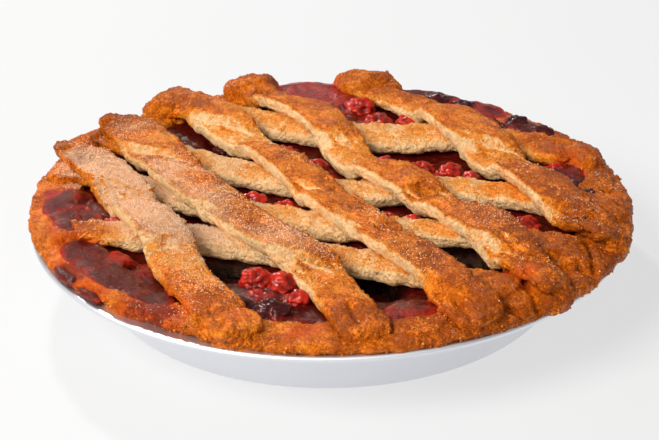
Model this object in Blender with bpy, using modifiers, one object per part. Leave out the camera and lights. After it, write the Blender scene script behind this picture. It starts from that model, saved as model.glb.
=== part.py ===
"""A lattice-topped fruit pie in its own rolled-edge metal tin.

Nodes: pie_tin, pastry_case, filling, cross_strip_1..4 and over_strip_1..5.
Metres, +Z up, the tin's flat base on the ground at the origin.
"""

import bmesh
import bpy
import numpy as np
from mathutils import Vector

MM = 0.001

# Tin
TIN_BASE_RADIUS = 93 * MM
TIN_MOUTH_RADIUS = 111 * MM
TIN_FLANGE_TOP = 29.6 * MM
TIN_SHEET = 0.6 * MM
TIN_BASE_BEND = 1.6 * MM
BEAD_RADIUS = 1.2 * MM
BEAD_CENTRE = (119.2 * MM, 29.0 * MM)
BEAD_POINTS = 8
BEAD_FROM, BEAD_TO = 185, 475  # degrees round the bead, from under the flange to on top of it
MOUTH_BEND = 2.4 * MM  # length of wall that turns into the flange
FLANGE_RUN_OUT = (1.2 * MM, 0.6 * MM)  # how far past the mouth the flange starts, outside and inside
BASE_CORNER = 0.3 * MM
SEAM_MERGE = 0.00005
ROUND_STEPS = 64

# Pastry case
GAP = 0.3 * MM  # left between pieces that touch
RIM_TOP = 33.6 * MM
RIM_OUTER = 118.4 * MM
RIM_INNER = 103.4 * MM
CASE_BOTTOM = TIN_SHEET + GAP
CASE_FLOOR_TOP = 4.4 * MM
# The case's section, as steps in from a named radius and up from a named height
HEEL_START, HEEL_END, HEEL_RISE = 2.9 * MM, 0.2 * MM, 1.4 * MM
WALL_TOP_INSET, WALL_TOP = 2.2 * MM, 28.0 * MM
FLANGE_INSET = 0.3 * MM
LIP_UNDER = ((1.8 * MM, 0.65 * MM), (0.6 * MM, 0.9 * MM), (0, 1.6 * MM))  # inset, height over the flange
LIP_OVER = ((0.6 * MM, 0.9 * MM), (2.8 * MM, 0))  # inset, depth below the rim's top
RIM_CROWN = (109 * MM, 0.1 * MM)
RIM_SHOULDER = (1.8 * MM, 0.3 * MM)
RIM_EDGE_OVER, RIM_EDGE_UNDER, RIM_EDGE_INSET = 0.2 * MM, 1.8 * MM, 0.4 * MM
INNER_HEEL = ((3.8 * MM, 1.2 * MM), (5.5 * MM, 0))  # inset from the tin's base, height over the case's floor
# (angle in degrees, spread in degrees, amount): where the hand-laid rim reaches out or stands higher
RIM_REACH_LOBES = (
    (-124, 30, -3.0 * MM), (-32, 62, 2.6 * MM), (54, 38, -4.2 * MM), (172, 46, 2.0 * MM),
)
RIM_HEIGHT_LOBES = ((-30, 45, 1.2 * MM), (150, 40, 0.8 * MM), (62, 32, -0.7 * MM))

# Filling
FILL_MIDDLE = 30.0 * MM
FILL_EDGE = 32.2 * MM
FILL_RADIUS = 102.9 * MM
FILL_RINGS = (0.955, 0.88, 0.76, 0.6, 0.42, 0.22)
FILL_FLAT_TO = 0.45  # share of the radius inside which the filling lies flat
FILL_HEEL = ((5.9 * MM, 0), (4.3 * MM, 1.2 * MM))  # inset from the tin's base, height over its floor
FILL_WALL_GAP, FILL_WALL_DROP, FILL_LIP = 0.5 * MM, 0.1 * MM, 0.2 * MM

# Lattice
CROSS_THICKNESS = 5.2 * MM
OVER_THICKNESS = 5.6 * MM
RIM_THINNING = 0.6  # strips are pressed this thin where they lie on the rim
THINNING_FROM, THINNING_TO = 82 * MM, 107 * MM
# Thickness of each strip where its two ends are folded or pressed on to the rim
CROSS_ENDS = ((3.2 * MM, 4.4 * MM), (3.2 * MM, 4.2 * MM), (3.2 * MM, 4.6 * MM), (3.6 * MM, 5.2 * MM))
OVER_ENDS = (
    (5.0 * MM, 3.6 * MM), (4.8 * MM, 3.6 * MM), (8.0 * MM, 3.8 * MM), (8.2 * MM, 3.8 * MM),
    (7.6 * MM, 3.8 * MM),
)
FOLD_REACH = (5 * MM, 14 * MM)
BED_CLIMB, BED_CLIMB_END = 15 * MM, 1.5 * MM  # distances inside the rim's edge between which strips climb
BED_CLEARANCE = 0.3 * MM
CROWN = 1.03  # a strip's middle stands this much over its thickness
CROSSING_GAP = 2.4 * GAP
SAG_REACH = 8 * MM  # how far from a cross strip an over strip takes to come down
CROSSING_MARGIN = 3.7 * MM
CROSS_STATIONS = 24
OVER_STATIONS = 30
FIRST_FULL_STATION = 4.5 * MM
STATION_SLACK = 0.01 * MM
CURVE_POINTS = 16
CROSS_LINE_POINTS = 60
END_ROUNDING = ((0.0, 0.6, 0.5), (1.6 * MM, 0.87, 0.82))  # distance from the end, shares of width, thickness
# Cross-section of a strip: (share of half the width, share of the thickness)
STRIP_SECTION = (
    (-0.82, 0), (0, 0), (0.82, 0), (1, 0.36), (0.93, 0.76),
    (0.5, 1), (0, CROWN), (-0.5, 1), (-0.93, 0.76), (-1, 0.36),
)

# Strip centre lines seen from above: (x, y, half width) in millimetres
CROSS_PATHS = (
    ((-107, -34, 6.5), (-81, -37, 7), (-45, -41, 7.3), (10, -59, 7), (40, -73, 6.5), (66, -87, 7)),
    ((-115, 20, 7.5), (-95, 14, 6.5), (-72, 3, 7), (-14, -25, 7), (35, -34, 6.5), (68, -45, 6.8),
     (91, -58, 7.5)),
    ((-106, 54, 6.5), (-78, 43, 7), (-41, 23, 7.5), (10, 0, 7.5), (38, 5, 8), (60, -1, 7), (88, -13, 6.8),
     (111, -25, 9.5)),
    ((-56, 84, 7), (-25, 69, 7.5), (5, 59, 8.5), (30, 54, 10), (55, 53, 9), (80, 44, 7.5), (105, 29, 10)),
)
OVER_PATHS = (
    ((-111, 40, 8), (-104, 28, 8.3), (-84, -5, 8.5), (-64, -44, 8.3), (-54, -70, 8.5), (-41, -93, 8.5),
     (-30, -112, 8.5)),
    ((-94, 67, 8.5), (-88, 56, 11), (-67, 18, 10.5), (-42, -22, 8.5), (-28, -42, 8.3), (-8, -66, 8),
     (3, -89, 8), (13, -114, 9)),
    ((-77, 91, 10.5), (-57, 77, 9), (-36, 48, 8.3), (-18, 18, 8), (-3, -12, 8), (15, -41, 7.8),
     (33, -70, 7.2), (46, -95, 8.5), (53, -106, 9.5)),
    ((-36, 110, 11), (-23, 88, 8.3), (-9, 73, 8.5), (3, 48, 8.3), (13, 23, 8), (31, -2, 8.5), (45, -22, 8.8),
     (58, -40, 10), (68, -65, 8.3), (76, -82, 8.3), (81, -87, 9)),
    ((16, 114, 13.5), (30, 97, 9), (44, 78, 8), (58, 53, 10), (74, 18, 9.3), (83, -2, 9), (90, -22, 8.5),
     (98, -40, 8.3), (106, -52, 8)),
)

TIN_COLOUR = (0.82, 0.82, 0.83, 1)
PASTRY_COLOUR = (0.72, 0.41, 0.15, 1)
FILLING_COLOUR = (0.13, 0.01, 0.012, 1)


def smoothstep(low, high, value):
    share = np.clip((value - low) / (high - low), 0, 1)
    return share * share * (3 - 2 * share)


def lobes(angle, table):
    """Sum of the raised-cosine lobes of a table at an angle in radians."""
    total = np.zeros_like(angle)
    for centre, spread, amount in table:
        away = np.abs((np.degrees(angle) - centre + 180) % 360 - 180)
        total = total + amount * (0.5 + 0.5 * np.cos(np.pi * np.clip(away / spread, 0, 1)))
    return total


def rim_outer(angle):
    return RIM_OUTER + lobes(angle, RIM_REACH_LOBES)


def rim_top(angle):
    return RIM_TOP + lobes(angle, RIM_HEIGHT_LOBES)


def fill_height(radius):
    return FILL_MIDDLE + (FILL_EDGE - FILL_MIDDLE) * smoothstep(FILL_FLAT_TO, 1, radius / FILL_RADIUS)


def bed_height(x, y):
    """Height of what the strips lie on: the filling inside, the pastry rim outside."""
    radius = np.hypot(x, y)
    angle = np.arctan2(y, x)
    on_rim = smoothstep(RIM_INNER - BED_CLIMB, RIM_INNER - BED_CLIMB_END, radius)
    inside = fill_height(np.minimum(radius, FILL_RADIUS))
    return inside * (1 - on_rim) + (rim_top(angle) + BED_CLEARANCE) * on_rim


def thinning(x, y):
    return 1 - (1 - RIM_THINNING) * smoothstep(THINNING_FROM, THINNING_TO, np.hypot(x, y))


def smooth_path(waypoints, count):
    """Points evenly spaced along a Catmull-Rom curve through the waypoints, as rows of x, y, half width."""
    knots = np.array(waypoints) * MM
    knots = np.vstack([2 * knots[0] - knots[1], knots, 2 * knots[-1] - knots[-2]])
    rows = []
    for before, start, end, after in zip(knots, knots[1:], knots[2:], knots[3:]):
        for t in np.linspace(0, 1, CURVE_POINTS, endpoint=False):
            rows.append(0.5 * (2 * start + (end - before) * t
                               + (2 * before - 5 * start + 4 * end - after) * t ** 2
                               + (3 * start - before - 3 * end + after) * t ** 3))
    rows = np.array(rows + [knots[-2]])
    run = np.concatenate([[0], np.cumsum(np.hypot(*np.diff(rows[:, :2], axis=0).T))])
    ends = [distance for distance, _, _ in END_ROUNDING] + [FIRST_FULL_STATION]
    inner = np.linspace(ends[-1], run[-1] - ends[-1], count - 2 * len(END_ROUNDING))
    at = np.concatenate([ends[:-1], inner, run[-1] - np.array(ends[-2::-1])])
    return np.column_stack([np.interp(at, run, rows[:, i]) for i in range(3)]), at, run[-1]


def crossing_rise(x, y, cross_lines):
    """How far the cross strips below lift an over strip at this spot."""
    rise = np.zeros_like(x)
    for line in cross_lines:
        away = np.hypot(x[..., None] - line[:, 0], y[..., None] - line[:, 1])
        nearest = away.argmin(axis=-1)
        edge = line[nearest, 2] + CROSSING_MARGIN
        share = 1 - smoothstep(edge, edge + SAG_REACH, away.min(axis=-1))
        thickness = CROSS_THICKNESS * thinning(line[nearest, 0], line[nearest, 1])
        rise = np.maximum(rise, share * (thickness * CROWN + CROSSING_GAP))
    return rise


def material_of(name, colour, metallic, roughness):
    material = bpy.data.materials.new(name)
    material.use_nodes = True
    shader = material.node_tree.nodes["Principled BSDF"]
    shader.inputs["Base Color"].default_value = colour
    shader.inputs["Metallic"].default_value = metallic
    shader.inputs["Roughness"].default_value = roughness
    material.diffuse_color = colour
    return material


def object_of(name, points, faces, material, collection):
    mesh = bpy.data.meshes.new(name)
    mesh.from_pydata([Vector(point) for point in points], [], faces)
    shape = bmesh.new()
    shape.from_mesh(mesh)
    bmesh.ops.recalc_face_normals(shape, faces=shape.faces)
    shape.to_mesh(mesh)
    shape.free()
    for polygon in mesh.polygons:
        polygon.use_smooth = True
    mesh.materials.append(material)
    made = bpy.data.objects.new(name, mesh)
    collection.objects.link(made)
    return made


def closed_loft(sections):
    """Points and faces of a tube through equal-length sections, both ends filled."""
    count = len(sections[0])
    points = np.concatenate(sections)
    faces = []
    for ring in range(len(sections) - 1):
        for i in range(count):
            j = (i + 1) % count
            a, b = ring * count, (ring + 1) * count
            faces.append((a + i, a + j, b + j, b + i))
    faces.append(tuple(range(count))[::-1])
    faces.append(tuple(range(len(points) - count, len(points))))
    return points, faces


def closed_turning(profile_at, count):
    """Points and faces of a turned body whose outline, from its lowest point on the axis
    to its highest point on the axis, may change with the angle."""
    angles = np.linspace(0, 2 * np.pi, count, endpoint=False)
    rings = []
    for angle in angles:
        reach, height = np.array(profile_at(angle)).T
        rings.append(np.column_stack([reach * np.cos(angle), reach * np.sin(angle), height]))
    outline = profile_at(0.0)
    last = len(outline) - 1
    points = [(0, 0, outline[0][1]), (0, 0, outline[last][1])]
    for ring in rings:
        points.extend(ring[1:last])
    width = last - 1
    faces = []
    for step in range(count):
        a, b = 2 + step * width, 2 + (step + 1) % count * width
        faces.append((0, b, a))
        faces.append((1, a + width - 1, b + width - 1))
        for i in range(width - 1):
            faces.append((a + i, b + i, b + i + 1, a + i + 1))
    return points, faces


def make_tin(collection, material):
    """A pressed sheet-metal dish with a flat flange whose edge is rolled into a bead."""
    slope = Vector((TIN_MOUTH_RADIUS - TIN_BASE_RADIUS, TIN_FLANGE_TOP)).normalized()
    inward = Vector((-slope.y, slope.x)) * TIN_SHEET
    bead_r, bead_z = BEAD_CENTRE
    outer = [
        Vector((0, 0)),
        Vector((TIN_BASE_RADIUS - TIN_BASE_BEND, 0)),
        Vector((TIN_BASE_RADIUS, 0)) + slope * TIN_BASE_BEND,
        Vector((TIN_MOUTH_RADIUS, TIN_FLANGE_TOP)) - slope * MOUTH_BEND,
        Vector((TIN_MOUTH_RADIUS + FLANGE_RUN_OUT[0], TIN_FLANGE_TOP - TIN_SHEET)),
    ]
    bead = []
    for angle in np.radians(np.linspace(BEAD_FROM, BEAD_TO, BEAD_POINTS)):
        bead.append(Vector((bead_r + BEAD_RADIUS * np.cos(angle), bead_z + BEAD_RADIUS * np.sin(angle))))
    inner = [
        Vector((TIN_MOUTH_RADIUS + FLANGE_RUN_OUT[1], TIN_FLANGE_TOP)),
        Vector((TIN_MOUTH_RADIUS, TIN_FLANGE_TOP)) - slope * MOUTH_BEND + inward,
        Vector((TIN_BASE_RADIUS, 0)) + slope * TIN_BASE_BEND + inward,
        Vector((TIN_BASE_RADIUS - TIN_BASE_BEND - BASE_CORNER, TIN_SHEET)),
        Vector((0, TIN_SHEET)),
    ]
    outline = [(point.x, 0, point.y) for point in outer + bead + inner]
    mesh = bpy.data.meshes.new("pie_tin")
    mesh.from_pydata(outline, [(i, i + 1) for i in range(len(outline) - 1)], [])
    tin = bpy.data.objects.new("pie_tin", mesh)
    collection.objects.link(tin)
    turned = tin.modifiers.new("turned", "SCREW")
    turned.axis = "Z"
    turned.steps = turned.render_steps = ROUND_STEPS
    turned.use_merge_vertices = True
    turned.merge_threshold = SEAM_MERGE
    turned.use_normal_calculate = True
    turned.use_smooth_shade = True
    mesh.materials.append(material)
    return tin


def case_outline(angle):
    """Half the pastry case's section: under the floor, up the wall, round the rim, back to the floor."""
    angle = np.asarray(angle, float)
    outer, top = float(rim_outer(angle)), float(rim_top(angle))
    flange = TIN_FLANGE_TOP + GAP
    return (
        (0, CASE_BOTTOM),
        (TIN_BASE_RADIUS - HEEL_START, CASE_BOTTOM),
        (TIN_BASE_RADIUS - HEEL_END, CASE_BOTTOM + HEEL_RISE),
        (TIN_MOUTH_RADIUS - WALL_TOP_INSET, WALL_TOP),
        (TIN_MOUTH_RADIUS - FLANGE_INSET, flange),
        *((outer - inset, flange + rise) for inset, rise in LIP_UNDER),
        *((outer - inset, top - drop) for inset, drop in LIP_OVER),
        (RIM_CROWN[0], top + RIM_CROWN[1]),
        (RIM_INNER + RIM_SHOULDER[0], top - RIM_SHOULDER[1]),
        (RIM_INNER, FILL_EDGE + RIM_EDGE_OVER),
        (RIM_INNER - RIM_EDGE_INSET, FILL_EDGE - RIM_EDGE_UNDER),
        *((TIN_BASE_RADIUS - inset, CASE_FLOOR_TOP + rise) for inset, rise in INNER_HEEL),
        (0, CASE_FLOOR_TOP),
    )


def filling_outline(_angle):
    """Half the filling's section: over the case's floor, up its wall and back along the top."""
    floor = CASE_FLOOR_TOP + GAP
    return (
        (0, floor),
        *((TIN_BASE_RADIUS - inset, floor + rise) for inset, rise in FILL_HEEL),
        (RIM_INNER - RIM_EDGE_INSET - FILL_WALL_GAP, FILL_EDGE - RIM_EDGE_UNDER - FILL_WALL_DROP),
        (FILL_RADIUS - FILL_LIP, FILL_EDGE),
        *((FILL_RADIUS * share, float(fill_height(FILL_RADIUS * share))) for share in FILL_RINGS),
        (0, FILL_MIDDLE),
    )


def make_strip(name, waypoints, count, thickness, end_thickness, rise_at, collection, material):
    """A rounded strip of dough draped over what lies under it, each end worked to its own thickness."""
    path, at, length = smooth_path(waypoints, count)
    along = np.gradient(path[:, :2], at, axis=0)
    along /= np.linalg.norm(along, axis=1)[:, None]
    across = np.column_stack([along[:, 1], -along[:, 0]])
    sections = []
    for (x, y, half_width), side, run in zip(path, across, at):
        from_end = min(run, length - run)
        width_share, thick_share = 1, 1
        for distance, width_here, thick_here in END_ROUNDING:
            if from_end < distance + STATION_SLACK:
                width_share, thick_share = width_here, thick_here
                break
        thick = thickness * thinning(x, y)
        for end, away in zip(end_thickness, (run, length - run)):
            worked = 1 - smoothstep(*FOLD_REACH, away)
            thick = thick * (1 - worked) + end * worked
        thick *= thick_share
        shares = np.array(STRIP_SECTION)
        px = x + side[0] * shares[:, 0] * half_width * width_share
        py = y + side[1] * shares[:, 0] * half_width * width_share
        under = bed_height(px, py) + GAP + rise_at(px, py)
        sections.append(np.column_stack([px, py, under + shares[:, 1] * thick]))
    points, faces = closed_loft(sections)
    return object_of(name, points, faces, material, collection)


def main():
    for item in list(bpy.data.objects):
        bpy.data.objects.remove(item, do_unlink=True)
    bpy.context.scene.unit_settings.system = "METRIC"
    collection = bpy.data.collections.new("cherry_pie")
    bpy.context.scene.collection.children.link(collection)

    make_tin(collection, material_of("pie_tin", TIN_COLOUR, 1.0, 0.3))
    points, faces = closed_turning(case_outline, ROUND_STEPS)
    object_of("pastry_case", points, faces, material_of("pastry_case", PASTRY_COLOUR, 0.0, 0.6), collection)
    points, faces = closed_turning(filling_outline, ROUND_STEPS)
    object_of("filling", points, faces, material_of("filling", FILLING_COLOUR, 0.0, 0.2), collection)

    cross_lines = [smooth_path(path, CROSS_LINE_POINTS)[0] for path in CROSS_PATHS]
    for number, path in enumerate(CROSS_PATHS, 1):
        name = f"cross_strip_{number}"
        make_strip(name, path, CROSS_STATIONS, CROSS_THICKNESS, CROSS_ENDS[number - 1],
                   lambda x, y: np.zeros_like(x), collection, material_of(name, PASTRY_COLOUR, 0.0, 0.6))
    for number, path in enumerate(OVER_PATHS, 1):
        name = f"over_strip_{number}"
        make_strip(name, path, OVER_STATIONS, OVER_THICKNESS, OVER_ENDS[number - 1],
                   lambda x, y: crossing_rise(x, y, cross_lines), collection,
                   material_of(name, PASTRY_COLOUR, 0.0, 0.6))


main()
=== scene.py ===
"""The looks of a lattice-topped fruit pie in its own rolled-edge tin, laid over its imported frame.

Metres, +Z up. Each operator makes one piece or one group of like pieces, and the last one
sets the stage.
"""

import math
from contextlib import contextmanager

import bmesh
import bpy
import numpy as np
from bpy.props import FloatProperty, FloatVectorProperty, IntProperty, PointerProperty
from mathutils import Euler, Matrix, Vector


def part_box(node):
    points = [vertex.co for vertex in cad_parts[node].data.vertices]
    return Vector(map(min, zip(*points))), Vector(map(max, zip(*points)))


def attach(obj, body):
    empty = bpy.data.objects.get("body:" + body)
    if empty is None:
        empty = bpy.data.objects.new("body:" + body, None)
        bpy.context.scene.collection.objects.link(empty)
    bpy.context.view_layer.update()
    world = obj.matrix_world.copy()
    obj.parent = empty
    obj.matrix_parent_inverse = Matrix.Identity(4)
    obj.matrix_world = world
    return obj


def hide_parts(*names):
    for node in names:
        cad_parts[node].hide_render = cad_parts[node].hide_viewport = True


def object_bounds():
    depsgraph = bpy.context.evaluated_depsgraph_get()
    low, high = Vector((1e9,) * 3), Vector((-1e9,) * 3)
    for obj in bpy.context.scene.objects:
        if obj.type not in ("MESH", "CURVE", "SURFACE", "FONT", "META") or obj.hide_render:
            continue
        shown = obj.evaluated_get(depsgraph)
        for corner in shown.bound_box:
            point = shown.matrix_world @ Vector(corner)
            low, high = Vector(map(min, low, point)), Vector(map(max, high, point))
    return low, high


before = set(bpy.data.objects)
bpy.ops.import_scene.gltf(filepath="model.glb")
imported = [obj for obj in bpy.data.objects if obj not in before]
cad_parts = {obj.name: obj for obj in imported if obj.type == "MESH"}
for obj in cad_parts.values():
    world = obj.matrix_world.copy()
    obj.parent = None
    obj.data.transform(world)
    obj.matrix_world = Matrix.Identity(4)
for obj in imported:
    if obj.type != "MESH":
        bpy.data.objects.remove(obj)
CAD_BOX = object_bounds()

bl_info = {
    "name": "Lattice Pie",
    "version": (1, 0, 0),
    "blender": (4, 5, 0),
    "location": "3D View > Sidebar > Pie",
    "description": "Builds the tin, crust, fruit, sugar and stage of a lattice-topped pie",
    "category": "Object",
}

MM = 0.001
BODY = "root"
HEAT_AND_SHADE_FACING = np.array((0.301, 0.201, 0.932))  # the way the dough's most browned faces look: up to the oven's top heat, and tipped away from the key light, so faces turned from the light get painted shade and faces turned to it stay paler
CROSS_STRIPS = ("cross_strip_1", "cross_strip_2", "cross_strip_3", "cross_strip_4")
OVER_STRIPS = ("over_strip_1", "over_strip_2", "over_strip_3", "over_strip_4", "over_strip_5")
STRIPS = CROSS_STRIPS + OVER_STRIPS
FLANGE_TOP = 29.6 * MM
CASE_WALL = 95 * MM  # the rim is kept outside this radius
STRIP_REACH = 105 * MM  # and the strips inside this one
CUT_LEVEL = 27 * MM  # the crust is cut off level here, inside the tin
CREST_LOW, CREST_HIGH = 34.5 * MM, 41 * MM  # the lattice's tops brown more between these heights
CEILING_GAP = 0.7 * MM  # dough nearer than this to the CAD's top is pressed down
RED_SEED, DARK_SEED, RED_SCATTER, DARK_SCATTER, SUGAR_SEED, CRUMB_SEED = 3, 4, 5, 6, 11, 23
CAMERA_PLACE = (0, -0.5487, 0.2999)
CAMERA_PITCH, CAMERA_YAW, CAMERA_ROLL = 26.92, -0.04, -0.77  # degrees
LIGHTS_AIM = Vector((0, 0, 30 * MM))

# Where sugar lies thick on the lattice: x, y, reach in millimetres, amount
SUGAR_DRIFTS = (
    (-104, 22, 18, 0.9), (-90, 2, 20, 1.2), (-76, -20, 20, 1.3), (-62, -42, 18, 0.9), (-50, -45, 16, 0.9),
    (-48, -80, 20, 0.5), (-85, 50, 14, 0.7), (-62, 10, 15, 0.7), (-44, -18, 18, 0.7), (-20, -52, 17, 0.8),
    (-5, -70, 15, 0.5), (-14, 20, 12, 0.3), (12, -38, 18, 0.4), (28, -72, 18, 0.4), (10, 20, 14, 0.2),
    (50, -25, 16, 0.3), (62, -45, 15, 0.35), (80, 10, 16, 0.3), (96, -36, 14, 0.4), (-40, 20, 13, 0.5),
    (66, 35, 14, 0.2), (-60, -108, 14, 0.4), (108, 5, 16, 0.3), (78, -70, 16, 0.3),
)

# Juice that ran on to the crust: x, y, reach in millimetres, amount
JUICE_RUNS = (
    (-100, -60, 7, 0.9), (-94, -68, 8, 1), (-86, -80, 7, 0.9), (-71, -90, 7, 0.7), (-57, -97, 9, 1),
    (-64, -92, 6, 0.6), (-10, -108, 7, 0.8), (-32, -104, 6, 0.5), (-100, -44, 8, 0.7),
    (-112, -14, 8, 0.6), (-12, 112, 16, 0.9), (84, 24, 8, 0.5), (92, 28, 6, 0.4), (-114, 4, 6, 0.6),
    (58, 100, 9, 0.4), (84, 76, 9, 0.4), (38, -102, 6, 0.35), (100, 24, 6, 0.35), (-106, -34, 6, 0.6),
    (70, -82, 6, 0.5),
)

# Hollows (below) and mounds (above) of the cooked fruit: x, y, half length, half width, turn in
# degrees, height in millimetres, redness, bloom
# Hollows deeper than 6 mm are also painted near black: painted shade
FRUIT_GROUND = (
    (-38, -55, 13, 10, -35, -10, 0, 0), (-22, -78, 14, 12, 0, 2, 0.5, 0),
    (-44, -56, 6, 5, 0, 0.5, 0.5, 0), (10, -66, 20, 14, -35, -11, 0, 0),
    (28, -98, 12, 8, -20, 2.5, 0.5, 0.4), (48, -52, 23, 16, -38, -12, 0, 0),
    (66, -74, 7, 5, -45, 2.5, 1, 0), (-99, -14, 18, 15, -30, 3, 0.4, 0.5),
    (-100, -26, 9, 5, -20, 3.2, 0.5, 0.7), (-85, -27, 7, 5, -20, 2.8, 1, 0),
    (-104, -6, 8, 6, 0, 3, 0.8, 0), (-78, -70, 22, 12, -42, 2, 0.15, 0.9),
    (-80, -53, 9, 6, -20, 2.6, 0.95, 0.1), (-68, -62, 8, 8, 0, 2.2, 0.85, 0),
    (-73, -59, 4.5, 3.5, 0, -9, 0, 0), (-70, 30, 15, 7, -50, -7, 0.1, 0),
    (-56, -6, 15, 7, -50, -2, 0.45, 0), (-42, 50, 18, 7, -45, -5, 0.3, 0.1),
    (-26, -6, 14, 7, -35, 2.4, 0.9, 0), (-6, -36, 14, 6, -50, -1, 0.4, 0),
    (-36, 88, 14, 9, -30, 1, 0.3, 0.2), (-6, 28, 18, 9, -50, 2.6, 0.75, 0),
    (27, -22, 12, 6, -25, 2.4, 0.9, 0), (-4, 100, 24, 16, -15, 4.2, 1, 0.1),
    (14, 84, 16, 9, -20, 2.5, 0.7, 0.2), (10, 70, 9, 5, -20, -7, 0, 0), (36, 21, 25, 10, -30, 3, 0.85, 0),
    (76, -28, 9, 6, -45, 1, 0.5, 0.1), (86, -40, 10, 6, -45, -6, 0.05, 0),
    (70, 80, 18, 8, -45, 3.6, 0.6, 0.2), (50, 94, 16, 9, -30, 3.6, 0.1, 0.8),
    (88, 60, 15, 8, -50, 3, 0.1, 0.8), (94, 20, 9, 6, 0, 2.6, 0.9, 0.1),
    (102, 4, 14, 7, -70, 1, 0.1, 0.5), (28, 24, 4, 3, 0, -7, 0, 0), (0, 118, 20, 8, -5, 3, 0.5, 0.5),
)

# Dough pressed together where strips end on the rim: x, y, height of the middle, half length
# round the rim, half depth, half height, all in millimetres
END_LUMPS = (
    (-33, -107, 31.8, 9, 6.5, 3.8), (11, -109, 32, 9.5, 6.5, 4), (50, -99, 32.4, 10, 8, 4.4),
    (77, -84, 32.8, 10, 9, 4.8), (66, -90, 32.4, 9, 8.5, 4.4), (90, -61, 33.4, 9.5, 9, 5),
    (105, -47, 32.8, 9.5, 7.5, 5), (108, -25, 33.4, 8.5, 8.5, 5.2), (105, 27, 34, 10, 9, 5.6),
    (-106, -36, 32.2, 8, 6, 3.4), (-111, 19, 32.4, 8, 6, 3.8), (-107, 38, 33.2, 9, 7, 4.4),
    (-92, 65, 33.4, 9.5, 7.5, 4.6), (-74, 87, 34.6, 11.5, 8, 5.6), (-36, 107, 35.6, 12.5, 8, 6),
    (15, 112, 35.8, 13, 7.5, 6), (108, 2, 32.4, 14, 7, 4.2), (30, -107, 31.8, 12, 6, 3.6),
    (-72, -85, 31.4, 16, 5, 3.4),
)

# Folds where one piece of dough overlaps the next: x and y of both ends, half width and depth,
# all in millimetres. The side to the left of the line stands proud.
FOLDS = (
    (70, -83, 72.5, -96, 1.6, 2.2), (82.5, -63, 85.5, -76, 1.8, 2.2), (85.5, -69.5, 91, -69.5, 1.4, 1.4),
    (91, -69.5, 95.5, -75, 1.4, 1.4), (95, -49, 97.2, -60, 1.6, 2.4), (97.2, -60, 95.6, -73, 1.6, 2.4),
    (109, -34, 112, -43, 1.6, 2.2), (100.5, -25, 109.2, -34, 1.8, 2), (43.5, -96, 48, -108, 1.6, 1.8),
    (7, -98, 9.5, -109, 1.6, 1.6), (-42, -98, -37, -110, 1.6, 1.4), (60, -97, 66, -100, 1.5, 1.4),
    (111, -6, 117, -9, 1.8, 1.6), (-115, 28, -109, 30, 1.6, 1.4), (-101, 50, -97, 57, 1.8, 1.8),
    (97, 38, 108, 40, 1.8, 2), (94, 22, 104, 14, 1.6, 1.8), (-20, 108, -22, 116, 1.8, 2),
    (-2, 108, 0, 117, 1.8, 2), (-60, 93, -66, 99, 1.8, 1.8), (-84, 74, -90, 80, 1.8, 1.8),
)

# Jelly that crept over the crust: x, y, height of the middle, half length round the rim, half
# depth, half height in millimetres, redness, bloom
SPILLS = (
    (-105, -9, 34.4, 15, 11, 1.5, 0.2, 0.5), (-99, -25, 34.2, 14, 10, 1.5, 0.3, 0.5),
    (-113, 1, 33.8, 5, 4, 1.5, 0.9, 0), (-92, -52, 33.8, 14, 9, 1.5, 0.2, 0.7),
    (-80, -68, 33.6, 20, 8, 1.5, 0.05, 0.9), (-66, -82, 33.2, 13, 6, 1.4, 0.05, 0.8),
    (-98, -64, 31.8, 9, 3, 1.7, 0.1, 0), (-88, -77, 31.4, 8, 2.4, 1.6, 0.1, 0),
    (-10, 109, 34.6, 18, 10, 1.6, 0.95, 0.1), (46, 100, 33.8, 17, 7, 1.4, 0.1, 0.9),
    (70, 84, 33.8, 16, 7, 1.4, 0.6, 0.2), (88, 61, 33.8, 16, 7, 1.4, 0.1, 0.9),
    (28, -95, 33, 12, 7, 2.2, 0.5, 0.3), (-20, -97, 31, 11, 4, 2.2, 0.4, 0),
    (65.5, -74, 35.4, 6, 3.4, 2.6, 1, 0), (100, 14, 33.8, 13, 6, 1.6, 0.4, 0.4),
)

# Berries that show: x, y, radius, height of the middle in millimetres, turn in degrees
RED_BERRIES = (
    (-27, -69, 6.6, 31, 10), (-17, -73, 7.4, 31.2, 80), (-12, -82, 5.8, 30.8, 150),
    (-25, -80, 5.4, 29.6, 200), (24, 29, 6.8, 31, 30), (34, 23, 6, 31, 200), (50, 20, 6.4, 31.2, 100),
    (58, 12, 6, 31.2, 310), (22, -21, 5.2, 31, 45), (32, -25, 5.6, 31, 120), (14, 88, 8.2, 32.2, 10),
    (22, 74, 7.4, 31.4, 220), (36, 76, 6, 31, 70), (76, -27, 6, 30.6, 15), (-6, 27, 6.8, 30.6, 60),
    (-19, 42, 6.2, 30.4, 330), (-84, -27, 5, 33.4, 190), (96, 20, 5, 32.4, 250),
    (-32, -3, 6.4, 30.2, 170), (-18, -11, 6, 30.4, 20), (40, 25, 5.4, 30.8, 75), (17, 30, 5.6, 31.4, 120),
    (31, 16, 5.4, 31.2, 15), (44, 12, 5.2, 31.2, 280),
)
DARK_BERRIES = (
    (-21, -93, 8.2, 30.4, 20), (-32, -86, 6, 29, 130), (50, 94, 7.2, 32, 40), (62, 88, 6.8, 32.2, 200),
    (84, 68, 7.2, 32.2, 90), (93, 57, 6.8, 32, 300), (96, 45, 6, 32, 10), (94, 14, 6.6, 31.6, 75),
    (102, 5, 6.8, 31.6, 160), (105, -5, 5.8, 31.8, 250), (84, -38, 6.6, 28.4, 30),
    (-58, -4, 6.4, 28.6, 45), (-36, 88, 7, 30, 100), (-46, 52, 6.6, 27.6, 10),
)


# ---- Settings ----


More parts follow.
